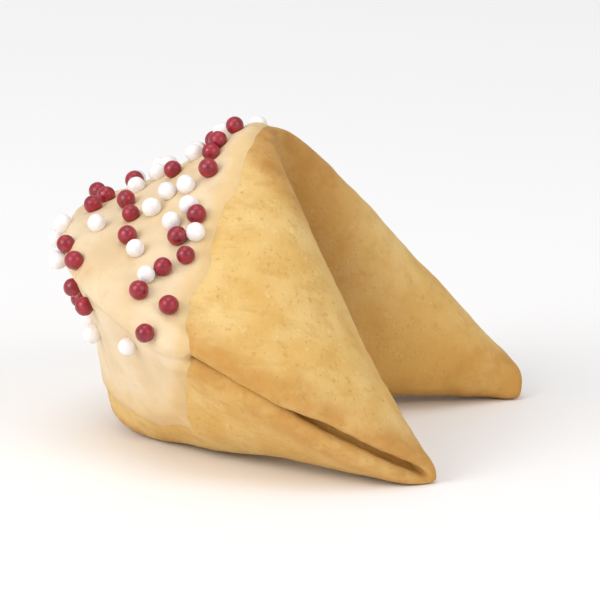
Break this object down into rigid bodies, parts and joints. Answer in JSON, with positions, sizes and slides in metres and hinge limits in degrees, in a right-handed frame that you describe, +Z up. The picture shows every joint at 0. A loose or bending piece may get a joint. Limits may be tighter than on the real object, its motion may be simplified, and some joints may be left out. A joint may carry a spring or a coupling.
{
  "type": "fortune cookie",
  "caption": "Folded crisp wafer cookie, hollow, with two horns and a pinched seam, its back dipped in white chocolate with sugar balls.",
  "frame": {"origin": "on the table under the middle of the cookie", "axes": "+Z up, the two horns point to -Y, the round back with the rims faces +Y, and X runs from horn to horn"},
  "size_m": [0.0584, 0.048, 0.0361],
  "materials": {
    "wafer": "baked wafer, matte and finely pored, browner at the edge and in the bend",
    "white_chocolate": "thin set white chocolate, soft sheen",
    "red_sugar": "hard sugar shell, glossy",
    "white_sugar": "hard sugar shell, satin"
  },
  "bodies": {
    "root": {"folded_wafer": "wafer", "chocolate_dip": "white_chocolate"}
  },
  "joints": []
}
